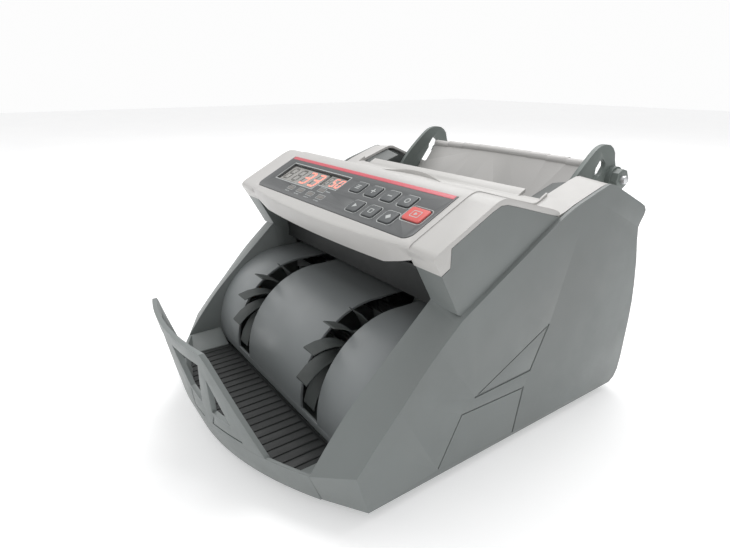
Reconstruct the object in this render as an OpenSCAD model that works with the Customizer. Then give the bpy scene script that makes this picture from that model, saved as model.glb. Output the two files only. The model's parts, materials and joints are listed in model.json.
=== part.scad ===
// Desktop banknote counting machine: shell covers, hopper with two linked note guides,
// roller feed, stacker wheels, stopper tray and a keypad with displays.

/* [Body] */
// Half of the width over the side covers
half_w = 122.8; // [122:0.2:124]
// Half of the width of the stacker bay between the cheeks
bay_half_w = 100; // [99:0.5:101]
// Wall thickness of the side covers
side_wall = 2.2; // [2:0.1:3]
// Height of the rubber feet
foot_h = 6; // [5:0.5:8]

/* [Stacker] */
// Height of the stopper plate's top above the underside
stopper_top = 80; // [72:1:84]
// Radius of the stacker wheels over the vane tips
vane_r = 38.5; // [34:0.5:38.5]
// Number of vanes on each stacker wheel
vane_count = 12; // [8:1:14]
// Radius of the curved sheet that the wheels reach through
drum_r = 59.5; // [58:0.5:60]

/* [Hopper] */
// Slope of the hopper's back plate above the horizontal
back_tilt = 52; // [50:1:54]
// Distance from the middle to each note guide's inner face
guide_x = 86; // [80:1:86]

/* [Keypad] */
// Slope of the control panel above the horizontal
panel_tilt = 27.3; // [26:0.1:28.5]
// Width of a grey key
key_w = 11; // [9:0.5:12]
// Depth of a grey key
key_d = 9.6; // [8:0.4:10]

/* [Hidden] */
$fn = 48;
y_off = -93.12;
z_off = foot_h;
eps = 0.02;
light = [0.80,0.80,0.78];
mid = [0.50,0.52,0.51];
dark = [0.27,0.29,0.29];
black = [0.08,0.09,0.09];
steel = [0.70,0.71,0.72];
rubber = [0.12,0.12,0.12];

// axes of the turning parts, as [y, z]
ax_stack = [39,43.5];
ax_trans = [125,82];
ax_feed = [168,84];
ax_pick = [199,100];
ax_motor = [150,36];
rods = [[86,14],[205,12],[99,105],[186,60]];
rear_y = 225;

// ---------- helpers ----------
// puts a part drawn from the toe of the side cover into the part's own frame
module place() translate([0,y_off,z_off]) children();
// extrudes a [y, z] outline along X from x0 to x1
module yz(x0,x1) translate([x0,0,0]) rotate([90,0,90]) linear_extrude(x1-x0) children();
// a round bar along X
module xrod(c,r,x0,x1,f=48) translate([x0,c[0],c[1]]) rotate([0,90,0]) cylinder(r=r,h=x1-x0,$fn=f);
// both the drawn side and its mirror image
module both() { children(); mirror([1,0,0]) children(); }
module rbox(x,y,z,r) translate([0,0,0]) linear_extrude(z) rsq(x,y,r);
module rsq(x,y,r) union() {
  square([x-2*r,y],center=true); square([x,y-2*r],center=true);
  for (i=[-1,1], j=[-1,1]) translate([i*(x/2-r),j*(y/2-r)]) circle(r=r,$fn=24);
}
function cr1(a,b,c,d,t) = 0.5*(2*b+(c-a)*t+(2*a-5*b+4*c-d)*t*t+(3*b-a-3*c+d)*t*t*t);
function smooth(p,n) = concat([for (i=[0:len(p)-2]) for (k=[0:n-1])
  cr1(p[max(i-1,0)],p[i],p[i+1],p[min(i+2,len(p)-1)],k/n)],[p[len(p)-1]]);
function rev(p) = [for (i=[len(p)-1:-1:0]) p[i]];
function shift(p,d) = [for (q=p) q+d];

// ---------- outlines ----------
nose_o = smooth([[-7.4,26.4],[6,41.7],[19.8,56.3],[40.9,78.6],[61.5,97]],5);
nose_i = smooth([[-22.8,19.6],[-10,36.4],[6,54.5],[28,75],[61.5,105.2]],5);
ridge = smooth([[61.5,97],[100,119.6],[142.3,143.2],[165,151.4],[181.8,156.5]],4);
rear_edge = [[185,156.9],[190,155.6],[226,139.4],[230.5,137],[232.6,134],[232,131],[229,126.5],[227,122.6],[229,112],
  [233,97.4],[236,80],[237.7,65.4],[237.9,50],[237.3,36.7],[236.4,20],[234.8,9],[231.5,3],[226,0]];
side_outline = concat([[0,0]],nose_o,[for (i=[1:len(ridge)-1]) ridge[i]],rear_edge);
// top line of the hood from its front edge to the hopper
hood_top = concat([[30,130.8],[44.5,138.3],[80.5,156.9]],smooth([[84,158.5],[87.5,159.6],[91,159.8],[95,158.9],[99,157.8]],3),
  smooth([[120,151.7],[134,147.8],[140,146.4],[145,146.9],[149,149.1],[153.2,151.2]],4));

// ---------- covers ----------
// the side is ruled between its outer outline and an inner one whose nose stands higher
module side_solid() {
  o = concat([[0,0]],nose_o,[for (i=[1:len(ridge)-1]) ridge[i]],rear_edge);
  i = concat([[-15.2,0]],nose_i,[for (i=[1:len(ridge)-1]) ridge[i]+[0,max(0,8.2-(ridge[i][0]-61.5)*0.25)]],rear_edge);
  n = len(o);
  polyhedron(points=concat([for (p=o) [half_w,p[0],p[1]]],[for (p=i) [bay_half_w,p[0],p[1]]]),
    faces=concat([[for (k=[0:n-1]) k]],[[for (k=[0:n-1]) 2*n-1-k]],
      [for (k=[0:n-1]) [(k+1)%n,k,n+(k+1)%n]],[for (k=[0:n-1]) [n+(k+1)%n,k,n+k]]),convexity=6);
}
module side_cover() {
  difference() {
    union() {
      side_solid();
      // post and hood side, set in from the skin
      yz(bay_half_w-0.15,half_w-2.5) polygon([[60,100],[57,106],[46.8,124.7],[52.7,127.9],[52.7,138.5],[80.5,152.9],[87,155.6],[92,155.6],
        [99,153.7],[134,143.6],[141,141.4],[100,117.4],[66,97]]);
    }
    // the rim stays narrow along the top and the rear
    yz(bay_half_w-1,half_w-9) polygon([[80,80],[80,100.1],[141,136],[150,170],[250,170],[250,-5],[80,-5]]);
    // hollow of the cheek
    yz(bay_half_w+2.2,half_w-side_wall) polygon(concat([[1,2.4]],shift([for (k=[1:len(nose_o)-1]) nose_o[k]],[2.6,-3.4]),[[68,95.4],[68,2.4]]));
    // hollow behind the skin
    yz(bay_half_w+2.2,half_w-side_wall) polygon([[64,-5],[64,93.4],[99,116.2],[141.5,138.6],[153,142.4],[181,151.6],[185,151.8],[226,134.2],
      [229.5,131],[224.4,122.6],[230.6,97.4],[235.3,65.4],[235,36.7],[232.8,10],[226,2.4],[226,-5]]);
    // hollow of the hood side
    yz(bay_half_w+2.2,half_w-4.7) polygon([[66,101.4],[60.2,107],[51,123.6],[55,125.8],[55,136.7],[80.5,149.9],[87,152.4],[91.5,152.4],[98.5,150.6],[128,142],[99,119.6]]);
    translate([bay_half_w-1,80,100]) cube([3.4,80,70]);
    // seat of the top cover's shoulder
    yz(bay_half_w-1,half_w-2.3) polygon([[138.9,139.4],[145,141.5],[153,144.8],[177,152.7],[182,153.9],[186,153.7],[229,134.9],[240,140],[240,180],[138.9,180]]);
    // stacker shaft passes through the inner cheek
    xrod(ax_stack,6,bay_half_w-1,bay_half_w+4);
    // styling grooves
    for (g=[[[139,73],[125.6,45]],[[125.6,45],[76.8,43.7]],[[120.6,33.9],[115,3]]]) groove(g[0],g[1],1.5);
    for (g=[[[139,73],[76.8,43.7]],[[66.4,35.4],[120.6,33.9]],[[66.4,35.4],[50,5]]]) groove(g[0],g[1],0.8);
  }
}
module groove(a,b,w) {
  l = norm(b-a); t = atan2(b[1]-a[1],b[0]-a[0]);
  translate([half_w-0.7,a[0],a[1]]) rotate([t,0,0]) translate([0,-w/2,-w/2]) cube([2,l+w,w]);
}
module right_side_cover() color(mid) place() side_cover();
module left_side_cover() color(mid) place() mirror([1,0,0]) side_cover();

module panel_space() translate([0,62.5,147.6]) rotate([panel_tilt,0,0]) children();
// panel outline: square upper corners, round lower corners
module panel_outline(x,y,r) union() {
  translate([-x/2,-y/2+r]) square([x,y-r]);
  translate([-x/2+r,-y/2]) square([x-2*r,y]);
  for (i=[-1,1]) translate([i*(x/2-r),-y/2+r]) circle(r=r,$fn=32);
}
// plan of the hood with its bowed front edge
function bow(h,c=0.0006) = concat([for (x=[-bay_half_w+eps:(2*bay_half_w-2*eps)/20:bay_half_w]) [x,h+c*x*x]],[[bay_half_w-eps,200],[-bay_half_w+eps,200]]);
module hood_block(d) intersection() {
  yz(-bay_half_w+d,bay_half_w-d) polygon(concat(shift(hood_top,[0,-d]),[[153.2,121],[30,121]]));
  translate([0,40+d,122]) rotate([20,0,0]) translate([0,0,-40]) linear_extrude(90) polygon(bow(0));
  // two facets round the bezel's upper edge
  translate([0,0,100]) linear_extrude(80) polygon(bow(36.6+d,0.000505));
  rotate([-40,0,0]) translate([0,0,-60]) linear_extrude(300) polygon(bow(-57.74+d,0.000219));
}
module shoulder() {
  // the shoulder beside the hopper falls a little towards the outside
  p = [[139,144.4],[145,146],[153,149.4],[177,157.4],[182,158.6],[186,158.4],[228.6,139.6]];
  translate([98.6,0,150]) rotate([0,5.2,0]) translate([0,0,-150]) yz(0,21.1) polygon(concat(p,rev(shift(p,[0,-2.2]))));
}
module top_cover() color(light) place() difference() {
  union() {
    // hood shell over the bay, with the bowed bezel
    difference() {
      hood_block(0);
      difference() { hood_block(2.4); translate([-150,30,0]) cube([300,2,300]); }
      translate([-150,49.5,100]) cube([300,120,34.4]);
      translate([0,0,100]) linear_extrude(34.4) polygon(bow(43));
      yz(-bay_half_w-1,bay_half_w+1) polygon([[44,120],[44,134],[80,152.5],[90,155.6],[98,154.6],[135,144],[145,143.4],[149,145],[149,120]]);
      intersection() {
        yz(-98.2,98.2) polygon([[43,100],[43,134.6],[60,143],[60,100]]);
        translate([0,0,90]) linear_extrude(60) polygon(bow(43));
      }
    }
    // lower strips beside the panel, out to the hood sides
    both() yz(bay_half_w-1,half_w-2.7) polygon(concat([[46.5,124.8],[42,132.4],[41.5,134.2],[42.1,135.7],[43.4,136.9],[44.5,137.7],[80.5,156.3]],shift([for (k=[3:20]) hood_top[k]],[0,-0.6]),
      [[139,144.9],[139,142.8],[134,143.7],[99,153.8],[92,155.7],[87,155.7],[80.5,153],[52.6,138.6],[52.6,128.1]]));
    both() shoulder();
    // thicker wall under the finger scoop
    yz(-60,21) polygon([[139,144],[145,143.5],[149,145.1],[152,147.2],[152,150],[149,148.7],[145,146.5],[140,146],[139,146]]);
    // rear shelf behind the hopper's back plate
    yz(-98.6,98.6) polygon([[205,127.8],[rear_y,123.2],[rear_y,120.8],[205,125.4]]);
    both() for (y=[207,218]) translate([98.4,y,121]) cube([2.2,4,22]);
  }
  // recess and window for the control panel
  panel_space() translate([0,0,-1.4]) linear_extrude(6) panel_outline(190.8,41,6);
  panel_space() translate([2.6,-0.8,-8]) rbox(184,33,16,3);
  // corner notches at the hopper's front
  both() yz(83,98.7) polygon([[142.5,160],[142.5,147.4],[153.5,147.4],[153.5,160]]);
  // finger scoop behind the hood
  intersection() {
    translate([-20,52.6,145.8]) cylinder(r=96.1,h=10,$fn=144);
    translate([-70,141.3,145.8]) cube([110,10,10]);
  }
}
// ---------- stacker ----------
function arc(h,a,c=0.0029) = [for (x=[-a:a/14:a+eps]) [x,h+c*x*x]];
// a wall that follows the bowed front edge and leans forward: t = thickness, a = half width
module bow_wall(s,y0,z0,t,a,z1) {
  th = atan(s);
  translate([0,y0,z0]) rotate([th,0,0]) translate([0,0,-30]) linear_extrude(z1-z0+60)
    polygon(concat(arc(0,a,0.0029*cos(th)),rev(arc(t,a,0.0029*cos(th)))));
}
module front_lip() color(mid) place() {
  intersection() {
    bow_wall(0.35,-45,0,2.5,bay_half_w-0.1,20);
    translate([-110,-70,0]) cube([220,90,20]);
  }
  // sloping side walls and the frame under the floor
  both() intersection() {
    translate([0,4.3,0]) rotate([90,0,0]) linear_extrude(60) polygon([[84,8.6],[bay_half_w-0.1,8.6],[bay_half_w-0.1,20],[98.4,20],[86,11.4],[84,11.2]]);
    bow_wall(0.35,-44.4,0,80,bay_half_w-0.1,20);
  }
  intersection() {
    translate([-99.9,-60,0]) cube([199.8,64.9,2]);
    bow_wall(0.35,-44.4,0,80,bay_half_w-0.1,20);
  }
  for (x=[-60,0,60]) translate([x-1,-34,1.9]) cube([2,38,6.6]);
}
module tray_floor() color(black) place() intersection() {
  union() {
    translate([-83.9,-60,8.6]) cube([167.8,64.9,1.8]);
    for (i=[-11:11]) translate([i*7.2-0.7,-60,10.3]) cube([1.4,63,0.9]);
  }
  bow_wall(0.35,-42.2,0,80,83.9,20);
}
module strip(a,b,w) { l=norm(b-a); t=atan2(b[1]-a[1],b[0]-a[0]); translate([a[0],0,a[1]]) rotate([0,-t,0]) translate([-w/2,-90,-w/2]) cube([l+w,130,w]); }
module stacker_stopper() color(mid) place() {
  difference() {
    intersection() {
      bow_wall(0.2,-52,20.02,3,80,stopper_top);
      rotate([90,0,0]) translate([0,0,-10]) linear_extrude(120)
        polygon([[-73.8,20.02],[73.8,20.02],[49.5,stopper_top-4],[46.5,stopper_top],[-46.5,stopper_top],[-49.5,stopper_top-4]]);
    }
    both() rotate([90,0,0]) translate([0,0,-20]) linear_extrude(120) { polygon([[44,62],[36,35],[52.5,33.6]]); polygon([[27,38],[41,71],[9,71],[16.5,45]]); }
    // shallow outlines below the windows
    intersection() {
      bow_wall(0.2,-52.6,20.02,1.3,80,stopper_top);
      both() { strip([36,31],[31.5,24],1.2); strip([31.5,24],[58,24],1.2); strip([10,27],[15,42],1.2); strip([10,27],[21,24],1.2); }
    }
  }
  // foot behind the lip
  intersection() { bow_wall(0.35,-42.2,0,2,60,30); translate([-60,-70,11.6]) cube([120,90,10.6]); }
}
module drum_guide() color([0.56,0.58,0.58]) place() difference() {
  union() {
    intersection() {
      difference() { xrod([64,22],drum_r,-99.7,99.7,96); xrod([64,22],drum_r-1.8,-101,101,96); }
      yz(-101,101) polygon([[0,11.8],[60,11.8],[70,60],[70,90],[0,90]]);
    }
    yz(-99.7,99.7) polygon([[68,22+sqrt(drum_r*drum_r-16)-0.2],[68,22+sqrt((drum_r-1.8)*(drum_r-1.8)-16)+0.2],[102,80.5],[102,82.3]]);
  }
  both() translate([40.5,-10,18]) cube([21,114,90]);
}
module upper_guide() color(black) place() {
  difference() {
    union() {
      intersection() {
        difference() { xrod(ax_trans,24.2,-99.5,99.5,72); xrod(ax_trans,22.4,-101,101,72); }
        yz(-101,101) polygon([[99,91],[99,120],[146,120],[146,92],[125,82]]);
      }
      yz(-99.5,99.5) polygon([[104,93.3],[78,88.4],[72.6,90],[72.6,119],[74.6,119],[74.6,91.6],[78,90.6],[103,95.6]]);
    }
    both() translate([22,96,95]) cube([22,50,30]);
  }
}
module bay_ceiling() color(black) place() intersection() {
  yz(-98,98) polygon([[44.6,122.4],[72.4,119.4],[74.6,119.2],[100,133],[100,134.8],[75,121.6],[46.6,124.6]]);
  translate([0,0,100]) linear_extrude(60) polygon(bow(43.1));
}
// ---------- hopper ----------
A = [180,104];
// frame on the front face of the back plate: X across, Y up the slope, Z out of the face
module back_space() translate([0,A[0],A[1]]) rotate([back_tilt,0,0]) children();
module hopper_back() color(light) place() {
  back_space() difference() {
    union() {
      translate([0,0,-3]) linear_extrude(3) polygon(concat([[-96,-6],[96,-6],[96,44],[81,52]],[for (x=[81:-9:-81]) [x,70+2*(1-x*x/6561)]],[[-81,52],[-96,44]]));
      // rounded top rail
      for (k=[-4:4]) translate([k*18,71+2*(1-pow(k/4.5,2)),-1.5]) rotate([0,90,0]) translate([0,0,-9.1]) cylinder(r=3.4,h=18.2,$fn=32);
      // two ribs that carry the guide rod, and the pinion's boss
      both() difference() {
        union() {
          translate([27,0,0]) rotate([90,0,90]) linear_extrude(5) polygon([[69.5,-2.5],[75,-2.5],[80,-15],[79.6,-23],[74,-26],[68,-23],[67.8,-12]]);
        }
        translate([20,73.8,-19.7]) rotate([0,90,0]) cylinder(r=3,h=20);
      }
      translate([0,56,-4.6]) cylinder(r=5,h=2,$fn=32);
      translate([0,56,-9.6]) cylinder(r=2,h=8,$fn=32);
    }
    both() translate([22,-7,-4]) cube([22,29,8]);
  }
}
module hopper_tray() color(dark) place() {
  yz(-98.9,98.9) polygon([[153.6,146],[156.2,146],[171.5,112.6],[169,111.6]]);
  both() {
    yz(98.7,100.4) polygon([[153.6,145],[178,153.6],[186,154],[206,145],[206,120],[186,104],[171.5,112.6],[156,140]]);
    // sloping ledges in the front corners
    translate([98.2,153.6,147.6]) rotate([17.3,0,0]) rotate([0,-14,0]) translate([-15,0,-1.8]) cube([15,26.5,1.8]);
    translate([98.2,153.6,147.6]) rotate([17.3,0,0]) translate([-0.2,0,-2.4]) cube([0.8,26,1.6]);
    // dark liner in the corner notch
    translate([83.4,142.9,142.2]) cube([14.1,12.6,1.6]);
  }
}
module guide_rod() color(steel) place() back_space() translate([-101,73.8,-19.7]) rotate([0,90,0]) cylinder(r=3,h=202);
// one note guide: fin, neck over the rail, hub on the rod and rack
module note_guide(up) {
  x0 = guide_x;
  translate([x0,0,0]) difference() {
    rotate([90,0,90]) union() {
      linear_extrude(3.5) polygon(concat([[14,1],[14,16.5],[22,19.3]],smooth([[30.8,19],[49,18.2],[67,14.8],[78,11.6],[84.5,6.6],[88.2,0.6]],3),
        [[88.9,-4],[88,-8.6],[84.6,-13],[82,-18],[82,-24],[78,-28.2],[70,-28.2],[66,-24],[66,-5.9],[74.6,-5.9],[76.6,-4],[76.6,1.2],[74.6,2.8],[67.4,2.8],[65,1]]));
      translate([73.8,-19.7,0]) cylinder(r=8.6,h=7,$fn=40);
      translate([73.8,-19.7,7]) cylinder(r=7.6,h=5,$fn=8);
    }
    rotate([0,90,0]) translate([19.7,73.8,-1]) cylinder(r=3.05,h=20);
  }
  // arm and rack behind the back plate
  r0 = up ? 61.1 : 45.4;
  translate([x0,0,0]) rotate([90,0,90]) linear_extrude(3.5) polygon([[66.5,-19],[72,-12.4],[r0+5.5,-5.2],[r0,-5.2],[r0,-9],[r0+2,-17]]);
  difference() {
    translate([-24,r0,-9]) cube([x0+26,5.5,3.8]);
    for (i=[-5:12]) translate([i*PI,up ? r0 : r0+5.5,-9.1]) mirror([0,up ? 0 : 1,0]) linear_extrude(5) polygon([[-1.3,-0.1],[1.3,-0.1],[0.75,2],[-0.75,2]]);
  }
}
module right_guide() color(mid) place() back_space() note_guide(true);
module left_guide() color(mid) place() back_space() mirror([1,0,0]) note_guide(false);
module guide_pinion() color(steel) place() back_space() translate([0,56,-9]) difference() {
  union() {
    cylinder(r=4.7,h=3.8,$fn=40);
    for (i=[0:11]) rotate(i*30) linear_extrude(3.8) polygon([[-0.8,4.2],[0.8,4.2],[0.34,6.8],[-0.34,6.8]]);
  }
  translate([0,0,-1]) cylinder(r=2.06,h=6);
}
// ---------- back and bottom ----------
module base_pan() color(mid) place() difference() {
  union() {
    linear_extrude(2.4) polygon([[-99.8,5.4],[99.8,5.4],[99.8,80.2],[102.4,80.2],[102.4,64.8],[120.4,64.8],[120.4,rear_y-0.1],[-120.4,rear_y-0.1],[-120.4,64.8],[-102.4,64.8],[-102.4,80.2],[-99.8,80.2]]);
    for (x=[-94,94], y=[26,214]) translate([x,y,2.3]) cylinder(r=6,h=3);
  }
  for (x=[-94,94], y=[26,214]) translate([x,y,-1]) cylinder(r=1.8,h=10);
  for (i=[-7:7]) translate([i*8-1.6,110,-1]) cube([3.2,60,5]);
}
module feet() color(rubber) place() for (x=[-94,94], y=[26,214]) translate([x,y,-foot_h]) difference() {
  union() { cylinder(r1=8.4,r2=9.4,h=1.2,$fn=40); translate([0,0,1.2]) cylinder(r=9.4,h=foot_h-1.2,$fn=40); translate([0,0,foot_h-eps]) cylinder(r=1.8,h=5); }
  translate([0,0,-1]) cylinder(r=4,h=3.6,$fn=32);
}
module on_rear(x,z) translate([x,rear_y,z]) rotate([-90,0,0]) children();
screw_pos = [[-112,10],[112,10],[-112,108],[112,108]];
module rear_cover() color(mid) place() difference() {
  union() {
    translate([0,rear_y,0]) rotate([90,0,0]) linear_extrude(2.4) polygon([[-120.2,2.5],[120.2,2.5],[120.2,117],[112,120.6],[-112,120.6],[-120.2,117]]);
    // pocket of the carrying grip
    translate([0,rear_y-1,70]) rotate([90,0,0]) linear_extrude(16) rsq(118,26,5);
  }
  translate([0,rear_y+3,70]) rotate([90,0,0]) linear_extrude(18) rsq(114,22,4);
  // openings for the inlet, switch, fuse, socket and knob
  translate([64,rear_y,27]) cube([27.4,30,20.4],center=true);
  translate([26,rear_y,27]) cube([21.4,30,15.4],center=true);
  translate([-34,rear_y,27]) cube([14.4,30,14.4],center=true);
  on_rear(-6,27) cylinder(r=6.1,h=20,center=true);
  on_rear(0,47) cylinder(r=3.3,h=20,center=true);
  // cooling slots
  for (i=[0:7]) { translate([-104+i*5.6,rear_y-5,16]) cube([2.6,10,26]); translate([66+i*5.6,rear_y-5,56]) cube([2.6,10,28]); translate([-108+i*5.6,rear_y-5,56]) cube([2.6,10,28]); }
  for (p=screw_pos) on_rear(p[0],p[1]) cylinder(r=1.8,h=20,center=true);
}
module cover_screws() color(steel) place() for (p=screw_pos) on_rear(p[0],p[1]) translate([0,0,0.02]) difference() {
  union() { cylinder(r=3.4,h=1.2,$fn=32); translate([0,0,1.2]) cylinder(r1=3.4,r2=2.2,h=0.8,$fn=32); translate([0,0,-9]) cylinder(r=1.5,h=9.1,$fn=24); }
  for (a=[0,90]) rotate(a) translate([-2,-0.4,0.9]) cube([4,0.8,3]);
}
module iec_inlet() color(black) place() translate([64,rear_y,27]) {
  difference() {
    union() {
      translate([0,0.02,0]) rotate([-90,0,0]) linear_extrude(2) rsq(31,24,3);
      translate([-13.5,-18,-10]) cube([27,18.2,20]);
    }
    translate([0,-15.4,0]) rotate([-90,0,0]) linear_extrude(25) polygon([[-12,-7.6],[12,-7.6],[12,3.6],[8,7.8],[-8,7.8],[-12,3.6]]);
  }
  // contact blades and their solder tags
  for (p=[[-7,-1.6],[0,2.2],[7,-1.6]]) { translate([p[0]-1,-15.6,p[1]-2]) cube([2,12,4]); translate([p[0]-0.4,-23,p[1]-2]) cube([0.8,5.2,4]); }
}
module fuse_holder() color(black) place() on_rear(-6,27) difference() {
  union() { translate([0,0,0.02]) cylinder(r=8,h=1.6,$fn=40); translate([0,0,1.6]) cylinder(r=6.2,h=5,$fn=40); translate([0,0,-22]) cylinder(r=6,h=22.1,$fn=40); }
  translate([-5,-0.6,5.4]) cube([10,1.2,3]);
}
module display_socket() color(black) place() translate([-34,rear_y,27]) difference() {
  union() { translate([-7.1,-17,-7.1]) cube([14.2,17.1,14.2]); translate([-8.5,0.02,-8.5]) cube([17,1.2,17]); }
  translate([-5.2,-11,-4]) cube([10.4,20,7.4]);
  translate([-2.6,-11,3]) cube([5.2,20,2.6]);
}
module switch_bezel() color(black) place() translate([26,rear_y,27]) difference() {
  union() { translate([-12.5,0.02,-9]) cube([25,1.8,18]); translate([-10.6,-15,-7.6]) cube([21.2,15.1,15.2]); }
  translate([-9.2,-12,-6.7]) cube([18.4,20,13.4]);
  translate([-10.4,-5,0]) rotate([0,90,0]) cylinder(r=1.06,h=20.8,$fn=24);
}
module power_rocker() color(black) place() translate([26,rear_y-5,27]) {
  rotate([90,0,90]) translate([0,0,-8.8]) linear_extrude(17.6) polygon([[-3,-3],[1,-5.4],[6.2,-6],[6.9,-5.6],[5.3,0],[8.1,4.2],[7.2,4.7],[1,5],[-3,3]]);
  translate([-9.9,0,0]) rotate([0,90,0]) cylinder(r=1,h=19.8,$fn=24);
}
module gap_knob() color(dark) place() on_rear(0,47) translate([0,0,0.5]) {
  difference() {
    cylinder(r=9,h=11,$fn=64);
    for (i=[0:23]) rotate(i*15) translate([9.3,0,-1]) cylinder(r=0.7,h=13,$fn=16);
    translate([-6,-0.7,10]) cube([12,1.4,2]);
  }
  translate([0,0,-26]) cylinder(r=3.2,h=26.1,$fn=32);
}
// ---------- frame and drive ----------
chassis_outline = [[30,2.5],[220,2.5],[220,96],[200,122],[172,128],[128,128],[104,115.5],[76,98],[30,52]];
module chassis_plate() difference() {
  union() { yz(103.4,105.4) polygon(chassis_outline); translate([105.3,100,2.5]) cube([9,60,2]); }
  for (a=[ax_stack,ax_trans,ax_feed,ax_pick]) xrod(a,7,100,110);
  xrod(ax_motor,13,100,110);
  for (p=rods) xrod(p,2.1,100,110,24);
  yz(100,110) polygon([[70,26],[118,22],[112,52],[80,58]]);
}
module left_chassis() color(steel) place() mirror([1,0,0]) chassis_plate();
module right_chassis() color(steel) place() chassis_plate();
module cross_rods() color(steel) place() for (p=rods) {
  xrod(p,4,-103.38,103.38,32);
  both() { xrod(p,2,103,108.5,24); xrod(p,3.6,105.42,107.4,6); }
}
module bearings() color([0.72,0.55,0.3]) place() for (a=[ax_stack,ax_trans,ax_feed,ax_pick]) both() difference() {
  union() { xrod(a,6.98,103.2,106.2); xrod(a,8.6,a==ax_stack ? 102.3 : 101.8,103.36); }
  xrod(a,4.05,101,110);
}
// flanged pulley whose belt face starts at x
module pulley(a,r,x) { xrod(a,r,x,x+4.4); xrod(a,r+1.6,x-0.6,x+0.2,40); xrod(a,r+1.6,x+4.2,x+4.9,40); }
module stacker_shaft() color(steel) place() { xrod(ax_stack,4,-119.8,108); xrod(ax_stack,6.4,-114.6,-107.4,32); pulley(ax_stack,15,-119.1); }
module transport_rollers() color(rubber) place() {
  xrod(ax_trans,4,-119.8,114.6); xrod(ax_trans,6.4,-109,-107.4,32);
  both() { xrod(ax_trans,20,24,42,72); xrod(ax_trans,8,18,48,40); xrod(ax_trans,18,66,78); }
  pulley(ax_trans,14,-113.8); pulley(ax_trans,8,-119.1); pulley(ax_trans,12,109.2);
}
module feed_rollers() color(rubber) place() {
  xrod(ax_feed,4,-109,119.8);
  both() { xrod(ax_feed,15,24,42,64); xrod(ax_feed,8,18,48,40); }
  pulley(ax_feed,12,109.2); pulley(ax_feed,12,114.8);
}
module pickup_rollers() color(rubber) place() {
  xrod(ax_pick,4,-109,119.8); xrod(ax_pick,6.4,107.4,114,32);
  both() { xrod(ax_pick,18.6,24.5,41.5,72); xrod(ax_pick,8,18,48,40); }
  pulley(ax_pick,12,114.8);
}
module motor_shaft() color(steel) place() { xrod(ax_motor,3,-114,-62); xrod(ax_motor,5,-109,-107.4,24); pulley(ax_motor,7,-113.8); }
module motor() color([0.35,0.36,0.37]) place() difference() {
  union() {
    xrod(ax_motor,24,-101,-46,64); xrod(ax_motor,12.9,-105.4,-100);
    translate([-103.3,128,14]) cube([2.6,44,44]);
    xrod(ax_motor,22,-46.1,-42); xrod(ax_motor,5,-42.1,-38,32);
    for (a=[0:30:330]) translate([-92,ax_motor[0],ax_motor[1]]) rotate([a,0,0]) translate([0,23.5,-0.8]) cube([38,1.4,1.6]);
  }
  xrod(ax_motor,3.05,-110,-60);
}
// belts run just clear of their pulleys
module belt(a,b,ra,rb,x) translate([x,0,0]) rotate([90,0,90]) linear_extrude(3.2) difference() {
  hull() { translate(a) circle(r=ra+2,$fn=40); translate(b) circle(r=rb+2,$fn=40); }
  hull() { translate(a) circle(r=ra+0.4,$fn=40); translate(b) circle(r=rb+0.4,$fn=40); }
}
module drive_belts() color(rubber) place() {
  belt(ax_motor,ax_trans,7,14,-113.2);
  belt(ax_trans,ax_stack,8,15,-118.5);
  belt(ax_trans,ax_feed,12,12,109.8);
}
module pickup_belt() color(rubber) place() belt(ax_feed,ax_pick,12,12,115.4);
module separation_block() color(rubber) place() both() difference() {
  translate([25,151,98]) cube([16,15,12]);
  xrod(ax_feed,15.5,20,50,64);
  yz(20,50) polygon([[150,97],[155,97],[150,104]]);
}
module sensor_bars() color([0.1,0.25,0.15]) place() {
  for (z=[101,67]) difference() {
    union() {
      translate([-103.38,82,z]) cube([206.76,12,1.6]);
      for (x=[-75,-25,25,75]) translate([x-4,84,z>80 ? z-3.4 : z+1.5]) cube([8,8,3.5]);
      for (x=[-60,-40,-10,12,38,58]) translate([x,86,z>80 ? z+1.5 : z-1.1]) cube([4,5,1.2]);
    }
    for (x=[-84,84]) translate([x,88,z-1]) cylinder(r=1.6,h=4,$fn=24);
  }
}
module main_board() color([0.1,0.3,0.18]) place() {
  translate([109.4,76,8]) cube([1.6,66,54]);
  translate([110.9,84,18]) cube([2.2,14,14]);
  translate([110.9,104,36]) cube([3,8,20]);
  for (y=[84,94,122,132]) xrod([y,48],4,110.9,118.6,32);
  for (i=[0:4]) translate([110.9,104+i*6,12]) cube([1.4,4,2.4]);
  for (i=[0:3]) translate([110.9,104+i*8,24]) cube([1.8,6,4]);
  for (p=[[79,11],[139,11],[79,59],[139,59]]) xrod(p,2.5,105.42,109.42,24);
}
module transformer() color([0.4,0.36,0.3]) place() {
  difference() {
    translate([20,152,4.2]) cube([56,38,46]);
    for (y=[152,190]) translate([33,y-5,12]) cube([30,10,30]);
  }
  translate([33.5,146,12.5]) cube([29,50,29]);
  translate([18,150,2.42]) cube([60,42,2]);
  for (x=[14,78]) translate([x,160,2.42]) cube([4.2,22,1.6]);
}
// ---------- control panel ----------
key_pos = [[16,6],[33,6],[50,6],[67,6],[33,-10],[50,-10],[67,-10]];
win = [[-82,-7],[-26.5,-7],[-26.5,-1.5],[-2,-1.5],[-2,12.2],[-82,12.2]];
lens_pos = [[-49,-12.2],[-35,-12.2],[-21,-12.2],[-7,-12.2],[-14,-5.8]];
module control_panel() color(dark) place() panel_space() difference() {
  translate([0,0,-1.38]) linear_extrude(1.7) panel_outline(190.4,40.5,6);
  for (p=key_pos) translate([p[0],p[1],-3]) rbox(key_w+0.7,key_d+0.7,6,2);
  translate([83,-2,-3]) rbox(16.3,11.7,6,2);
  translate([0,0,-3]) linear_extrude(6) polygon(win);
  for (p=lens_pos) translate([p[0],p[1],0]) cube([7,3,8],center=true);
  translate([0,18.7,1.15]) cube([188,3.1,2],center=true);
}
module panel_stripe() color([0.8,0.35,0.38]) place() panel_space() translate([-94,17.15,0.15]) cube([188,3.1,0.25]);
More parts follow.
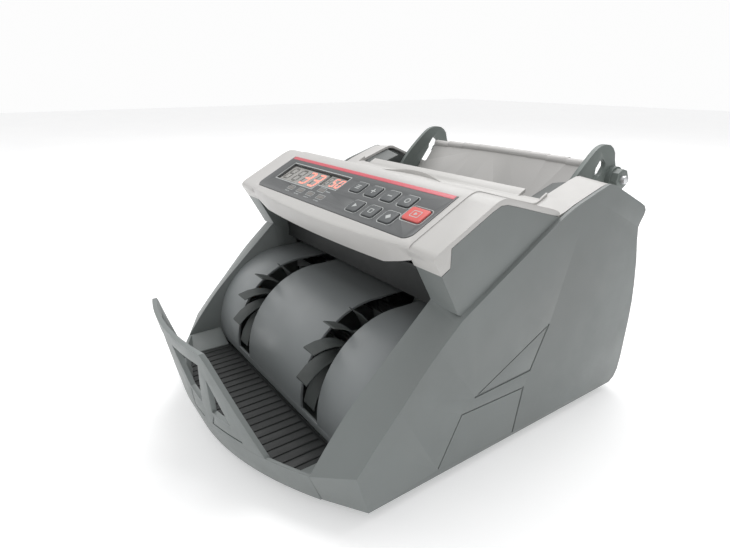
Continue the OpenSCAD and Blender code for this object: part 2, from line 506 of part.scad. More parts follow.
module display_window() color([0.3,0.05,0.05]) place() panel_space() translate([0,0,-0.9]) linear_extrude(1.15) polygon(win);
module display_board() color([0.1,0.3,0.18]) place() panel_space() translate([1.5,-0.8,-6.6]) rbox(183,32,1.6,2);
module count_display() color(black) place() panel_space() translate([-80.5,-6,-5]) cube([52,17,3.8]);
module preset_display() color(black) place() panel_space() translate([-25,-0.5,-5]) cube([21.5,11.6,3.8]);
module indicator_lenses() color([0.8,0.75,0.7]) place() panel_space() for (p=lens_pos) translate([p[0]-3.45,p[1]-1.45,-4.9]) cube([6.9,2.9,5.3]);
module key(p) place() panel_space() translate([p[0],p[1],0]) {
  translate([0,0,-1.2]) rbox(key_w,key_d,2.4,1.8);
  translate([0,0,-3.8]) cylinder(r=1.6,h=2.7,$fn=24);
}
module key_1() color(dark) key(key_pos[0]);
module key_2() color(dark) key(key_pos[1]);
module key_3() color(dark) key(key_pos[2]);
module key_4() color(dark) key(key_pos[3]);
module key_5() color(dark) key(key_pos[4]);
module key_6() color(dark) key(key_pos[5]);
module key_7() color(dark) key(key_pos[6]);
module start_key() color([0.8,0.3,0.3]) place() panel_space() translate([83,-2,0]) {
  translate([0,0,-1.2]) rbox(15.6,11,2.4,1.8);
  translate([0,0,-3.8]) cylinder(r=1.6,h=2.7,$fn=24);
}
// ---------- stacker wheels ----------
function vane(a,t) = [for (k=[0:5]) let(r=12+(vane_r-12)*k/5, f=a+58*pow(k/5,0.8)) [r*cos(f+t/r*28.65),r*sin(f+t/r*28.65)]];
module wheel(x) translate([x,ax_stack[0],ax_stack[1]]) rotate([90,0,90]) linear_extrude(13) difference() {
  union() {
    circle(r=14,$fn=48);
    for (i=[0:vane_count-1]) polygon(concat(vane(i*360/vane_count,-1),rev(vane(i*360/vane_count,1))));
  }
  circle(r=4,$fn=48);
}
module right_stacker_wheel() color([0.2,0.21,0.21]) place() wheel(44.5);
module left_stacker_wheel() color([0.2,0.21,0.21]) place() wheel(-57.5);

base_pan();
left_side_cover();
right_side_cover();
top_cover();
front_lip();
tray_floor();
stacker_stopper();
drum_guide();
upper_guide();
bay_ceiling();
hopper_tray();
hopper_back();
rear_cover();
left_chassis();
right_chassis();
cross_rods();
guide_rod();
control_panel();
panel_stripe();
display_window();
display_board();
count_display();
preset_display();
indicator_lenses();
main_board();
transformer();
motor();
iec_inlet();
fuse_holder();
display_socket();
switch_bezel();
feet();
cover_screws();
bearings();
sensor_bars();
separation_block();
drive_belts();
key_1();
key_2();
key_3();
key_4();
key_5();
key_6();
key_7();
start_key();
left_guide();
right_guide();
guide_pinion();
stacker_shaft();
left_stacker_wheel();
right_stacker_wheel();
transport_rollers();
feed_rollers();
pickup_rollers();
motor_shaft();
power_rocker();
gap_knob();
pickup_belt();
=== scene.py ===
import json
import math
import bpy
import bmesh
from mathutils import Matrix, Vector


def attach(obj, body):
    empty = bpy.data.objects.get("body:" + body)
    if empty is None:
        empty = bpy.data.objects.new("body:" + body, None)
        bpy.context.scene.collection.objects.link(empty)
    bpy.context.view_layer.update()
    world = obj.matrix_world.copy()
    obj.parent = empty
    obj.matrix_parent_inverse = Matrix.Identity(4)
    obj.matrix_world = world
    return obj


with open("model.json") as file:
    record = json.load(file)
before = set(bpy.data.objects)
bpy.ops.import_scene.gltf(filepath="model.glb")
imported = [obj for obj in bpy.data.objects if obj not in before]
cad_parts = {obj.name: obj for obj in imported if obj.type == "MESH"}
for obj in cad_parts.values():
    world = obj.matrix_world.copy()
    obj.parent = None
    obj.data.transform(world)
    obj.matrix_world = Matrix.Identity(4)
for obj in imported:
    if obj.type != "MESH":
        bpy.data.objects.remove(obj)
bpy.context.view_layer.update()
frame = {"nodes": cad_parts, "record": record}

scene = bpy.context.scene
scene.view_settings.view_transform = "Standard"
scene.view_settings.look = "None"
scene.view_settings.exposure = 0.0
scene.view_settings.gamma = 1.0

# the toe frame of the design: toe point + (0, YO, ZO) = row frame
YO, ZO = -93.12, 6.0
nodes = frame["nodes"]

# ------------------------------------------------------------------ camera
cam = bpy.data.cameras.new("camera")
cam.sensor_width = 36.0
cam.lens = 25.96
cam.clip_start = 0.01
cam_o = bpy.data.objects.new("camera", cam)
scene.collection.objects.link(cam_o)
cam_o.location = (0.3009, -0.22066, 0.22559)
cam_o.rotation_euler = (math.radians(69.4), 0.0, math.radians(54.9))
scene.camera = cam_o


# ------------------------------------------------------------------ node helpers
class Mat:
    """a material with a Principled shader and short helpers for building its nodes"""

    def __init__(self, name):
        self.m = bpy.data.materials.new(name)
        self.m.use_nodes = True
        self.t = self.m.node_tree
        self.b = self.t.nodes["Principled BSDF"]
        self.tc = None

    def n(self, kind, **kw):
        x = self.t.nodes.new(kind)
        for k, v in kw.items():
            setattr(x, k, v)
        return x

    def link(self, a, b):
        self.t.links.new(a, b)

    def set(self, **kw):
        for k, v in kw.items():
            self.b.inputs[k.replace("_", " ")].default_value = v

    def coords(self, scale=(1, 1, 1), rot=(0, 0, 0)):
        if self.tc is None:
            self.tc = self.n("ShaderNodeTexCoord")
        mp = self.n("ShaderNodeMapping")
        mp.inputs["Scale"].default_value = scale
        mp.inputs["Rotation"].default_value = rot
        self.link(self.tc.outputs["Object"], mp.inputs["Vector"])
        return mp.outputs["Vector"]

    def noise(self, scale, detail=3.0, rough=0.55, vec=None, dist=0.0):
        x = self.n("ShaderNodeTexNoise")
        x.inputs["Scale"].default_value = scale
        x.inputs["Detail"].default_value = detail
        x.inputs["Roughness"].default_value = rough
        x.inputs["Distortion"].default_value = dist
        self.link(vec if vec is not None else self.coords(), x.inputs["Vector"])
        return x.outputs["Fac"]

    def ramp(self, fac, a, b, lo=0.0, hi=1.0):
        x = self.n("ShaderNodeMapRange")
        x.inputs["From Min"].default_value = lo
        x.inputs["From Max"].default_value = hi
        x.inputs["To Min"].default_value = a
        x.inputs["To Max"].default_value = b
        self.link(fac, x.inputs["Value"])
        return x.outputs["Result"]

    def mix(self, fac, a, b, mode="MIX"):
        x = self.n("ShaderNodeMix", data_type="RGBA", blend_type=mode)
        if isinstance(fac, (int, float)):
            x.inputs[0].default_value = fac
        else:
            self.link(fac, x.inputs[0])
        for v, i in ((a, 6), (b, 7)):
            if isinstance(v, (tuple, list)):
                x.inputs[i].default_value = (*v[:3], 1.0)
            else:
                self.link(v, x.inputs[i])
        return x.outputs[2]

    def bump(self, height, strength, dist, after=None):
        x = self.n("ShaderNodeBump")
        x.inputs["Strength"].default_value = strength
        x.inputs["Distance"].default_value = dist
        self.link(height, x.inputs["Height"])
        if after is not None:
            self.link(after, x.inputs["Normal"])
        return x.outputs["Normal"]

    def math(self, op, a, b=None):
        x = self.n("ShaderNodeMath", operation=op)
        for i, v in enumerate((a, b)):
            if v is None:
                continue
            if isinstance(v, (int, float)):
                x.inputs[i].default_value = v
            else:
                self.link(v, x.inputs[i])
        return x.outputs[0]


def scaled(c, k):
    return tuple(min(1.0, v * k) for v in c[:3])


def plastic(name, col, rough=0.45, grain=0.22, size=0.00045, var=0.05, wear=0.10, spec=0.45, coat=0.0, tint=None):
    """moulded plastic: spark-eroded grain, slow colour drift, a little handling sheen and paler edges"""
    m = Mat(name)
    slow = m.noise(9.0, 2.0, 0.5)
    mid = m.noise(55.0, 4.0, 0.6)
    fine = m.noise(1.0 / size, 2.0, 0.6)
    base = m.mix(m.ramp(slow, 0, 1, 0.3, 0.7), scaled(col, 1 - var), scaled(tint or col, 1 + var))
    base = m.mix(m.ramp(mid, 0.0, 0.35, 0.35, 0.75), base, scaled(col, 1 - var * 1.6))
    base = m.mix(m.ramp(fine, 0.0, 0.16, 0.35, 0.7), base, scaled(col, 1 + 1.6 * var))
    geo = m.n("ShaderNodeNewGeometry")
    edge = m.math("MULTIPLY", m.ramp(geo.outputs["Pointiness"], 0.0, wear, 0.52, 0.62), m.ramp(mid, 0.5, 1.0, 0.35, 0.6))
    base = m.mix(edge, base, scaled(col, 1.45))
    m.link(base, m.b.inputs["Base Color"])
    r = m.math("ADD", m.ramp(mid, rough - 0.05, rough + 0.07, 0.3, 0.7), m.ramp(fine, -0.03, 0.03, 0.3, 0.7))
    m.link(r, m.b.inputs["Roughness"])
    nrm = m.bump(fine, grain, 0.00006)
    nrm = m.bump(mid, 0.05, 0.0002, nrm)
    m.link(nrm, m.b.inputs["Normal"])
    m.set(**{"Specular_IOR_Level": spec})
    if coat:
        m.set(**{"Coat_Weight": coat, "Coat_Roughness": 0.12})
    return m.m


def metal(name, col, rough=0.3, along="x", streak=0.06, size=0.0006):
    """drawn or rolled metal: fine streaks along one axis and a cloudy plated surface"""
    m = Mat(name)
    s = {"x": (4, 140, 140), "y": (140, 4, 140), "z": (140, 140, 4)}[along]
    brushed = m.noise(22.0, 3.0, 0.7, m.coords(s))
    cloud = m.noise(70.0, 4.0, 0.6)
    spot = m.noise(1.0 / size, 2.0, 0.5)
    base = m.mix(m.ramp(cloud, 0, 1, 0.3, 0.7), scaled(col, 0.9), scaled(col, 1.06))
    base = m.mix(m.ramp(brushed, 0, 0.35, 0.4, 0.75), base, scaled(col, 0.72))
    m.link(base, m.b.inputs["Base Color"])
    r = m.math("ADD", m.ramp(brushed, rough - streak, rough + streak, 0.25, 0.75), m.ramp(cloud, -0.05, 0.08, 0.3, 0.7))
    m.link(r, m.b.inputs["Roughness"])
    nrm = m.bump(brushed, 0.18, 0.00005)
    nrm = m.bump(spot, 0.1, 0.00003, nrm)
    m.link(nrm, m.b.inputs["Normal"])
    m.set(Metallic=1.0)
    return m.m


def rubber(name, col, rough=0.75, size=0.0006, bump=0.3, ribs=None):
    """ground rubber: matt, dusty, with fine pitting; ribs adds shallow grooves along one axis"""
    m = Mat(name)
    dust = m.noise(30.0, 4.0, 0.6)
    pit = m.noise(1.0 / size, 3.0, 0.7)
    base = m.mix(m.ramp(dust, 0, 0.6, 0.4, 0.75), scaled(col, 0.85), scaled(col, 1.7))
    base = m.mix(m.ramp(pit, 0, 0.4, 0.4, 0.8), base, scaled(col, 1.3))
    m.link(base, m.b.inputs["Base Color"])
    m.link(m.ramp(dust, rough - 0.08, rough + 0.1, 0.3, 0.7), m.b.inputs["Roughness"])
    nrm = m.bump(pit, bump, 0.00008)
    if ribs:
        w = m.n("ShaderNodeTexWave", wave_type="BANDS", bands_direction=ribs[0])
        w.inputs["Scale"].default_value = ribs[1]
        m.link(m.coords(), w.inputs["Vector"])
        nrm = m.bump(w.outputs["Fac"], 0.5, 0.0003, nrm)
    m.link(nrm, m.b.inputs["Normal"])
    m.set(**{"Specular_IOR_Level": 0.35})
    return m.m


def board(name, mask, track):
    """solder mask with tracks and pads showing through"""
    m = Mat(name)
    br = m.n("ShaderNodeTexBrick")
    br.inputs["Scale"].default_value = 210.0
    br.inputs["Mortar Size"].default_value = 0.035
    br.inputs["Brick Width"].default_value = 1.7
    br.inputs["Row Height"].default_value = 0.31
    m.link(m.coords((1, 1, 1), (0.0, math.radians(90), 0.0)), br.inputs["Vector"])
    vo = m.n("ShaderNodeTexVoronoi", feature="F1")
    vo.inputs["Scale"].default_value = 330.0
    m.link(m.coords(), vo.inputs["Vector"])
    pads = m.ramp(vo.outputs["Distance"], 1.0, 0.0, 0.12, 0.2)
    drift = m.noise(40.0, 3.0)
    base = m.mix(m.ramp(drift, 0, 1, 0.3, 0.7), scaled(mask, 0.85), scaled(mask, 1.2))
    base = m.mix(m.math("MULTIPLY", br.outputs["Fac"], 0.55), base, track)
    base = m.mix(m.math("MULTIPLY", pads, 0.7), base, (0.62, 0.6, 0.55))
    m.link(base, m.b.inputs["Base Color"])
    m.link(m.ramp(drift, 0.28, 0.42, 0.3, 0.7), m.b.inputs["Roughness"])
    m.link(m.bump(br.outputs["Fac"], 0.3, 0.00005), m.b.inputs["Normal"])
    return m.m


def film(name, col, rough=0.36, painted_sheen_col=None):
    """printed membrane: fine leather-like emboss, and a painted sheen that makes it paler towards +x"""
    m = Mat(name)
    fine = m.noise(2600.0, 3.0, 0.6)
    slow = m.noise(14.0, 3.0, 0.5)
    base = m.mix(m.ramp(slow, 0, 1, 0.3, 0.7), scaled(col, 0.93), scaled(col, 1.08))
    if painted_sheen_col:
        # painted sheen: the colour turns paler along object x, towards the right side
        sep = m.n("ShaderNodeSeparateXYZ")
        m.link(m.coords(), sep.inputs[0])
        base = m.mix(m.ramp(sep.outputs[0], 0.0, 1.0, -0.09, 0.095), base, painted_sheen_col)
    base = m.mix(m.ramp(fine, 0.0, 0.25, 0.35, 0.75), base, scaled(col, 1.5))
    m.link(base, m.b.inputs["Base Color"])
    m.link(m.ramp(slow, rough - 0.05, rough + 0.06, 0.3, 0.7), m.b.inputs["Roughness"])
    m.link(m.bump(fine, 0.16, 0.00004), m.b.inputs["Normal"])
    m.set(**{"Specular_IOR_Level": 0.5})
    return m.m


def ink(name, col, rough=0.5):
    m = Mat(name)
    f = m.noise(1800.0, 2.0, 0.6)
    m.link(m.mix(m.ramp(f, 0, 0.5, 0.35, 0.7), col, scaled(col, 0.82)), m.b.inputs["Base Color"])
    m.link(m.ramp(f, rough - 0.06, rough + 0.06, 0.3, 0.7), m.b.inputs["Roughness"])
    m.link(m.bump(f, 0.1, 0.00003), m.b.inputs["Normal"])
    return m.m


def glow(name, core, rim, power):
    """lit display segment: hot core, redder towards the grain of its diffuser"""
    m = Mat(name)
    f = m.noise(900.0, 2.0, 0.5)
    c = m.mix(m.ramp(f, 0, 1, 0.3, 0.7), core, rim)
    m.link(c, m.b.inputs["Emission Color"])
    m.link(m.mix(m.ramp(f, 0, 1, 0.3, 0.7), scaled(core, 0.8), scaled(rim, 0.8)), m.b.inputs["Base Color"])
    m.link(m.ramp(f, 0.3, 0.45, 0.3, 0.7), m.b.inputs["Roughness"])
    m.link(m.bump(f, 0.1, 0.00003), m.b.inputs["Normal"])
    m.set(Emission_Strength=power)
    return m.m


def window(name, col, alpha):
    m = Mat(name)
    f = m.noise(160.0, 3.0, 0.5)
    m.link(m.mix(m.ramp(f, 0, 1, 0.3, 0.7), col, scaled(col, 0.9)), m.b.inputs["Base Color"])
    m.link(m.ramp(f, 0.10, 0.18, 0.3, 0.7), m.b.inputs["Roughness"])
    m.link(m.bump(f, 0.02, 0.0001), m.b.inputs["Normal"])
    m.set(Alpha=alpha, **{"Specular_IOR_Level": 0.6})
    return m.m


LIGHT = (0.560, 0.552, 0.534)
GREY = (0.206, 0.220, 0.216)

MATS = {
    "light_grey_shell": plastic("light_grey_shell", LIGHT, 0.42, 0.2, 0.0005, 0.025, 0.18, tint=(0.562, 0.547, 0.537)),
    "mid_grey_shell": plastic("mid_grey_shell", GREY, 0.46, 0.26, 0.0005, 0.04, 0.22, tint=(0.202, 0.223, 0.220)),
    "guide_sheet": plastic("guide_sheet", (0.245, 0.262, 0.266), 0.38, 0.1, 0.0004, 0.05, 0.1),
    "guide_grey": plastic("guide_grey", (0.165, 0.190, 0.180), 0.42, 0.18, 0.0005, 0.05, 0.25),
    "dark_grey_plastic": plastic("dark_grey_plastic", (0.11, 0.118, 0.115), 0.5, 0.25, 0.0005, 0.08, 0.2),
    "black_plastic": plastic("black_plastic", (0.022, 0.024, 0.024), 0.5, 0.25, 0.0005, 0.12, 0.15),
    # panel_film: the fourth argument is the colour of a painted sheen, paler towards the right side
    "panel_film": film("panel_film", (0.078, 0.082, 0.084), 0.36, (0.115, 0.12, 0.122)),
    "stripe_film": film("stripe_film", (0.60, 0.098, 0.125), 0.38),
    "key_rubber": plastic("key_rubber", (0.105, 0.112, 0.115), 0.42, 0.3, 0.0004, 0.08, 0.35),
    "start_red": plastic("start_red", (0.74, 0.135, 0.125), 0.4, 0.3, 0.0004, 0.06, 0.25),
    "display_glass": window("display_glass", (0.30, 0.29, 0.28), 0.08),
    "display_body": plastic("display_body", (0.44, 0.43, 0.41), 0.4, 0.1, 0.0004, 0.04, 0.05),
    "lens_clear": plastic("lens_clear", (0.20, 0.19, 0.18), 0.35, 0.1, 0.0004, 0.05, 0.1),
    "circuit_board": board("circuit_board", (0.012, 0.11, 0.05), (0.04, 0.22, 0.09)),
    "zinc_steel": metal("zinc_steel", (0.62, 0.63, 0.64), 0.3, "x"),
    "motor_black": plastic("motor_black", (0.03, 0.031, 0.033), 0.38, 0.12, 0.0006, 0.1, 0.1),
    "core_lacquer": metal("core_lacquer", (0.22, 0.18, 0.14), 0.5, "x", 0.1),
    "bronze_bush": metal("bronze_bush", (0.66, 0.44, 0.2), 0.34, "x"),
    "roller_rubber": rubber("roller_rubber", (0.03, 0.03, 0.031), 0.72),
    "wheel_rubber": rubber("wheel_rubber", (0.072, 0.080, 0.078), 0.62),
    "rocker_black": plastic("rocker_black", (0.018, 0.018, 0.019), 0.22, 0.05, 0.0006, 0.1, 0.1, coat=0.4),
}
INK = ink("white_ink", (0.52, 0.54, 0.53))
INK_DIM = ink("grey_ink", (0.36, 0.38, 0.375))
LIT = glow("segment_lit", (1.0, 0.33, 0.24), (1.0, 0.17, 0.12), 1.35)
GHOST = ink("segment_ghost", (0.145, 0.142, 0.13), 0.45)
PLATE = metal("rating_plate", (0.72, 0.72, 0.73), 0.32, "x")

# ------------------------------------------------------------------ CAD nodes: finish and edges
slots = {s["node"]: s["material_slot"] for s in frame["record"]["subparts"]}
BEVEL = {
    "left_side_cover": 0.38, "right_side_cover": 0.38, "top_cover": 0.55, "front_lip": 0.5, "stacker_stopper": 0.5,
    "hopper_back": 0.5, "hopper_tray": 0.35, "rear_cover": 0.35, "base_pan": 0.4, "drum_guide": 0.3, "upper_guide": 0.3,
    "left_guide": 0.32, "right_guide": 0.32, "start_key": 0.7, "control_panel": 0.12, "display_window": 0.1,
    "panel_stripe": 0.05, "guide_pinion": 0.12, "left_stacker_wheel": 0.2, "right_stacker_wheel": 0.2,
    "power_rocker": 0.3, "gap_knob": 0.3, "transformer": 0.5, "iec_inlet": 0.3, "display_socket": 0.25,
    "cover_screws": 0.15, "tray_floor": 0.2, "transport_rollers": 0.4, "feed_rollers": 0.4, "pickup_rollers": 0.4,
    "switch_bezel": 0.25, "sensor_bars": 0.15, "main_board": 0.15, "motor": 0.3, "bay_ceiling": 0.4,
}
for i in range(1, 8):
    BEVEL["key_%d" % i] = 0.62
# plates with many openings keep their flat facets
PLAIN = ("rear_cover", "base_pan")

for name, o in nodes.items():
    mat = MATS[slots[name]]
    if not o.material_slots:
        o.data.materials.append(mat)
    for s in o.material_slots:
        s.link = "OBJECT"
        s.material = mat
    if name in PLAIN:
        for p in o.data.polygons:
            p.use_smooth = False
        continue
    for p in o.data.polygons:
        p.use_smooth = True
    w = o.modifiers.new("weld", "WELD")
    w.merge_threshold = 0.000004
    d = o.modifiers.new("planes", "DECIMATE")
    d.decimate_type = "DISSOLVE"
    d.angle_limit = math.radians(0.6)
    b = o.modifiers.new("edge", "BEVEL")
    b.width = BEVEL.get(name, 0.15) / 1000.0
    b.segments = 3 if b.width > 0.0003 else 2
    b.limit_method = "ANGLE"
    b.angle_limit = math.radians(33)
    b.use_clamp_overlap = True
    b.harden_normals = True
    b.miter_outer = "MITER_ARC"


# ------------------------------------------------------------------ mesh helpers
def mesh_object(name, bm, mat, body):
    bmesh.ops.recalc_face_normals(bm, faces=bm.faces)
    me = bpy.data.meshes.new(name)
    bm.to_mesh(me)
    bm.free()
    me.materials.append(mat)
    o = bpy.data.objects.new(name, me)
    scene.collection.objects.link(o)
    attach(o, body)
    return o


TILT = math.radians(27.3)


def panel(u, v, w):
    """panel coordinates in mm to the row frame in metres"""
    return Vector((u, 62.5 + v * math.cos(TILT) - w * math.sin(TILT) + YO, 147.6 + v * math.sin(TILT) + w * math.cos(TILT) + ZO)) / 1000.0


def rear(x, z, d):
    """a point on the rear cover, d mm behind its outer face"""
    return Vector((x, 225.0 + d + YO, z + ZO)) / 1000.0


def prism(bm, pts, w0, w1, f):
    lo = [bm.verts.new(f(p[0], p[1], w0)) for p in pts]
    hi = [bm.verts.new(f(p[0], p[1], w1)) for p in pts]
    n = len(pts)
    bm.faces.new(lo[::-1])
    bm.faces.new(hi)
    for i in range(n):
        bm.faces.new((lo[i], lo[(i + 1) % n], hi[(i + 1) % n], hi[i]))


def ring(bm, outer, inner, w0, w1, f):
    n = len(outer)
    v = [[bm.verts.new(f(p[0], p[1], w)) for p in loop] for loop in (outer, inner) for w in (w0, w1)]
    ol, oh, il, ih = v
    for i in range(n):
        j = (i + 1) % n
        bm.faces.new((ol[i], ol[j], oh[j], oh[i]))
        bm.faces.new((il[j], il[i], ih[i], ih[j]))
        bm.faces.new((oh[i], oh[j], ih[j], ih[i]))
        bm.faces.new((ol[j], ol[i], il[i], il[j]))


def rrect(cx, cy, sx, sy, r, k=6):
    pts = []
    for qx, qy, a in ((1, 1, 0), (-1, 1, 90), (-1, -1, 180), (1, -1, 270)):
        for i in range(k + 1):
            t = math.radians(a + 90 * i / k)
            pts.append((cx + qx * (sx / 2 - r) + r * math.cos(t), cy + qy * (sy / 2 - r) + r * math.sin(t)))
    return pts


def offset_poly(pts, d):
    """a rectilinear outline moved outwards by d (anticlockwise points)"""
    out = []
    n = len(pts)
    for i in range(n):
        a, b, c = Vector(pts[i - 1]), Vector(pts[i]), Vector(pts[(i + 1) % n])
        e, g = (b - a).normalized(), (c - b).normalized()
        out.append(tuple(b + Vector((e.y, -e.x)) * d + Vector((g.y, -g.x)) * d))
    return out


SEG = {"0": "abcdef", "3": "abgcd", "5": "afgcd", "8": "abcdefg"}


def digit(bm, ch, cx, cy, h, wd, t, w0, w1):
    """seven-segment digit, leaning a little to the right"""
    a, g = h / 2, t * 0.12
    x, y = wd / 2, h / 2

    def horiz(yc):
        return [(-x + g + t / 2, yc), (-x + g + t, yc + t / 2), (x - g - t, yc + t / 2), (x - g - t / 2, yc), (x - g - t, yc - t / 2), (-x + g + t, yc - t / 2)]

    def vert(xc, y0, y1):
        return [(xc, y0 + g), (xc + t / 2, y0 + g + t / 2), (xc + t / 2, y1 - g - t / 2), (xc, y1 - g), (xc - t / 2, y1 - g - t / 2), (xc - t / 2, y0 + g + t / 2)]

    xs = x - t / 2
    shapes = {
        "a": horiz(y - t / 2), "g": horiz(0), "d": horiz(-y + t / 2),
        "b": vert(xs, 0, y - t / 2), "c": vert(xs, -y + t / 2, 0), "f": vert(-xs, 0, y - t / 2), "e": vert(-xs, -y + t / 2, 0),
    }
    for s in SEG[ch]:
        pts = [(cx + p[0] + 0.14 * p[1], cy + p[1]) for p in shapes[s]]
        prism(bm, pts, w0, w1, panel)


# ------------------------------------------------------------------ displays
lit, ghost = bmesh.new(), bmesh.new()
for i, ch in enumerate("  33"):
    cx = -74.0 + 13.0 * i
    if ch == " ":
        digit(ghost, "8", cx, 2.5, 14.2, 8.6, 1.75, -1.22, -1.13)
    else:
        digit(ghost, "8", cx, 2.5, 14.2, 8.6, 1.75, -1.22, -1.16)
        digit(lit, ch, cx, 2.5, 14.2, 8.6, 1.5, -1.2, -1.08)
for i, ch in enumerate(" 50"):
    cx = -21.2 + 7.0 * i
    digit(ghost, "8", cx, 5.3, 9.2, 4.9, 1.05, -1.22, -1.16)
    if ch != " ":
        digit(lit, ch, cx, 5.3, 9.2, 4.9, 0.95, -1.2, -1.08)
mesh_object("digits_unlit", ghost, GHOST, "root")
mesh_object("digits_lit", lit, LIT, "root")

# ------------------------------------------------------------------ print on the panel
WIN = [(-82, -7), (-26.5, -7), (-26.5, -1.5), (-2, -1.5), (-2, 12.2), (-82, 12.2)]
KEYS = [(16, 6), (33, 6), (50, 6), (67, 6), (33, -10), (50, -10), (67, -10)]
LENS = [(-49, -12.2), (-35, -12.2), (-21, -12.2), (-7, -12.2), (-14, -5.8)]
P0, P1 = 0.30, 0.37
b = bmesh.new()
ring(b, offset_poly(WIN, 1.15), offset_poly(WIN, 0.5), P0, P1, panel)
for x, y in KEYS:
    ring(b, rrect(x, y, 13.3, 12.0, 2.8), rrect(x, y, 12.6, 11.3, 2.45), P0, P1, panel)
ring(b, rrect(83, -2, 18.6, 14.0, 3.0), rrect(83, -2, 17.8, 13.2, 2.6), P0, P1, panel)
for x, y in LENS:
    ring(b, rrect(x, y, 8.6, 4.6, 0.8, 3), rrect(x, y, 7.9, 3.9, 0.5, 3), P0, P1, panel)
mesh_object("panel_outlines", b, INK, "root")
b = bmesh.new()
for k, (x, y) in enumerate(LENS[:4]):
    wds = ((3.6, 1.6), (2.2, 3.0), (4.4, 1.2), (1.6, 3.8))[k]
    x0 = x - 3.2
    for wdt in wds:
        prism(b, [(x0, y - 4.6), (x0 + wdt, y - 4.6), (x0 + wdt, y - 3.7), (x0, y - 3.7)], P0, P1, panel)
        x0 += wdt + 0.7
prism(b, [(-8.6, -6.3), (-3.4, -6.3), (-3.4, -5.4), (-8.6, -5.4)], P0, P1, panel)
mesh_object("panel_marks", b, INK_DIM, "root")

# key legends: plain pictograms, one per key
def disc(cx, cy, r, k=20):
    return [(cx + r * math.cos(2 * math.pi * i / k), cy + r * math.sin(2 * math.pi * i / k)) for i in range(k)]


K0, K1 = 1.18, 1.26
for i, (x, y) in enumerate(KEYS):
    b = bmesh.new()
    if i == 0:
        for dy in (-1.5, 0, 1.5):
            prism(b, [(x - 2.2, y + dy - 0.3), (x + 2.2, y + dy - 0.3), (x + 2.2, y + dy + 0.3), (x - 2.2, y + dy + 0.3)], K0, K1, panel)
    elif i == 1:
        prism(b, [(x - 2.1, y - 0.4), (x - 0.4, y - 0.4), (x - 0.4, y - 2.1), (x + 0.4, y - 2.1), (x + 0.4, y - 0.4), (x + 2.1, y - 0.4),
                  (x + 2.1, y + 0.4), (x + 0.4, y + 0.4), (x + 0.4, y + 2.1), (x - 0.4, y + 2.1), (x - 0.4, y + 0.4), (x - 2.1, y + 0.4)], K0, K1, panel)
    elif i == 2:
        prism(b, [(x - 2.1, y - 0.4), (x + 2.1, y - 0.4), (x + 2.1, y + 0.4), (x - 2.1, y + 0.4)], K0, K1, panel)
    elif i == 3:
        ring(b, disc(x, y, 2.1), disc(x, y, 1.5), K0, K1, panel)
    elif i == 4:
        prism(b, [(x - 1.5, y - 1.9), (x + 1.9, y), (x - 1.5, y + 1.9)], K0, K1, panel)
    elif i == 5:
        ring(b, rrect(x, y, 3.8, 3.8, 0.6, 3), rrect(x, y, 2.7, 2.7, 0.4, 3), K0, K1, panel)
    else:
        prism(b, [(x, y - 2.2), (x + 2.2, y), (x, y + 2.2), (x - 2.2, y)], K0, K1, panel)
    mesh_object("key_%d_legend" % (i + 1), b, INK, "key_%d_body" % (i + 1))
b = bmesh.new()
ring(b, rrect(83, -2, 7.2, 5.4, 0.8, 4), rrect(83, -2, 6.2, 4.4, 0.6, 4), K0, K1, panel)
prism(b, [(81.9, -3.3), (84.5, -2), (81.9, -0.7)], K0, K1, panel)
mesh_object("start_key_legend", b, INK, "start_key_body")

# ------------------------------------------------------------------ rear details
b = bmesh.new()
prism(b, rrect(0, 101, 78, 22, 2.0, 5), -0.1, 0.45, rear)
mesh_object("rating_plate", b, PLATE, "root")
b = bmesh.new()
ring(b, rrect(0, 101, 74, 18, 1.4, 4), rrect(0, 101, 73.2, 17.2, 1.1, 4), 0.43, 0.5, rear)
for j in range(3):
    prism(b, [(-33, 95 + 4.6 * j), (31 - 9 * j, 95 + 4.6 * j), (31 - 9 * j, 95.8 + 4.6 * j), (-33, 95.8 + 4.6 * j)], 0.43, 0.5, rear)
mesh_object("rating_plate_lines", b, INK_DIM, "root")
b = bmesh.new()
for z, l in ((29.6, 2.6), (24.0, 2.6)):
    pass
ring(b, disc(41.5, 31.0, 1.7, 24), disc(41.5, 31.0, 1.15, 24), -0.02, 0.06, rear)
prism(b, [(41.15, 21.6), (41.85, 21.6), (41.85, 25.0), (41.15, 25.0)], -0.02, 0.06, rear)
mesh_object("switch_marks", b, INK, "root")

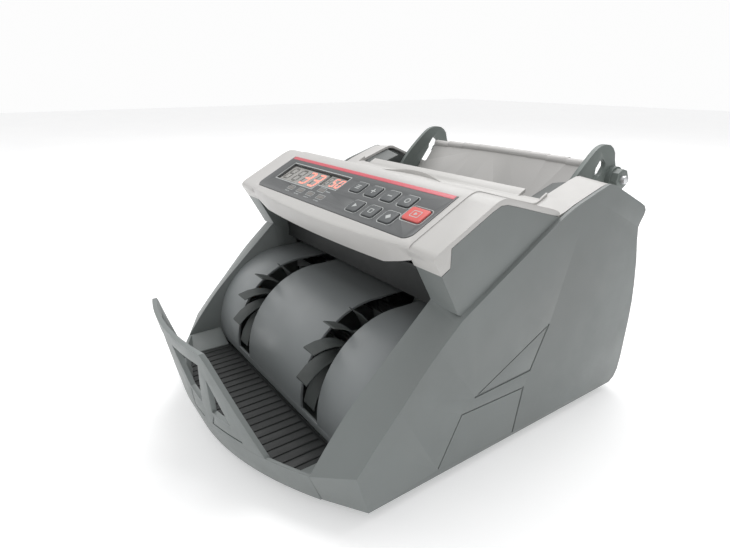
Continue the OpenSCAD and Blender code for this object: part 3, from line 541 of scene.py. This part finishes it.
# ------------------------------------------------------------------ stage and light
me = bpy.data.meshes.new("floor")
b = bmesh.new()
bmesh.ops.create_grid(b, x_segments=8, y_segments=8, size=4.0)
b.to_mesh(me)
b.free()
fm = Mat("floor")
fn = fm.noise(6.0, 3.0)
fm.link(fm.mix(fm.ramp(fn, 0, 1, 0.3, 0.7), (0.86, 0.86, 0.86), (0.84, 0.84, 0.845)), fm.b.inputs["Base Color"])
fm.set(Roughness=0.7)
fm.link(fm.mix(fm.ramp(fn, 0, 1, 0.3, 0.7), (1.0, 1.0, 1.0), (0.98, 0.98, 0.985)), fm.b.inputs["Emission Color"])
fm.set(Emission_Strength=0.34)
me.materials.append(fm.m)
floor = bpy.data.objects.new("floor", me)
floor.location = (0, 0, -0.0002)
scene.collection.objects.link(floor)

world = bpy.data.worlds.new("studio")
scene.world = world
world.use_nodes = True
wt = world.node_tree
sky = wt.nodes["Background"]
sky.inputs["Color"].default_value = (1.0, 1.0, 1.0, 1.0)
wc = wt.nodes.new("ShaderNodeTexCoord")
wz = wt.nodes.new("ShaderNodeSeparateXYZ")
wr = wt.nodes.new("ShaderNodeMapRange")
wr.inputs["From Min"].default_value = 0.0
wr.inputs["From Max"].default_value = 1.0
wr.inputs["To Min"].default_value = 0.44
wr.inputs["To Max"].default_value = 0.80
wt.links.new(wc.outputs["Generated"], wz.inputs[0])
wt.links.new(wz.outputs[2], wr.inputs["Value"])
wt.links.new(wr.outputs["Result"], sky.inputs["Strength"])
back = wt.nodes.new("ShaderNodeBackground")
back.inputs["Color"].default_value = (1.0, 1.0, 1.0, 1.0)
back.inputs["Strength"].default_value = 0.98
lp = wt.nodes.new("ShaderNodeLightPath")
wm = wt.nodes.new("ShaderNodeMixShader")
wt.links.new(lp.outputs["Is Camera Ray"], wm.inputs[0])
wt.links.new(sky.outputs[0], wm.inputs[1])
wt.links.new(back.outputs[0], wm.inputs[2])
wt.links.new(wm.outputs[0], wt.nodes["World Output"].inputs["Surface"])


def area(name, loc, target, size, power, color=(1, 1, 1)):
    l = bpy.data.lights.new(name, "AREA")
    l.shape = "RECTANGLE"
    l.size, l.size_y = size
    l.energy = power
    l.color = color
    o = bpy.data.objects.new(name, l)
    scene.collection.objects.link(o)
    o.location = loc
    d = Vector(target) - Vector(loc)
    o.rotation_euler = d.to_track_quat("-Z", "Y").to_euler()
    return o


area("key", (-0.35, 0.55, 1.25), (0, 0, 0.08), (1.1, 1.1), 13.0)
area("front_fill", (0.35, -1.2, 0.75), (0, 0, 0.08), (0.9, 0.9), 0.4)
area("left_fill", (-1.15, -0.45, 0.75), (0, -0.05, 0.08), (0.8, 0.8), 2.6)
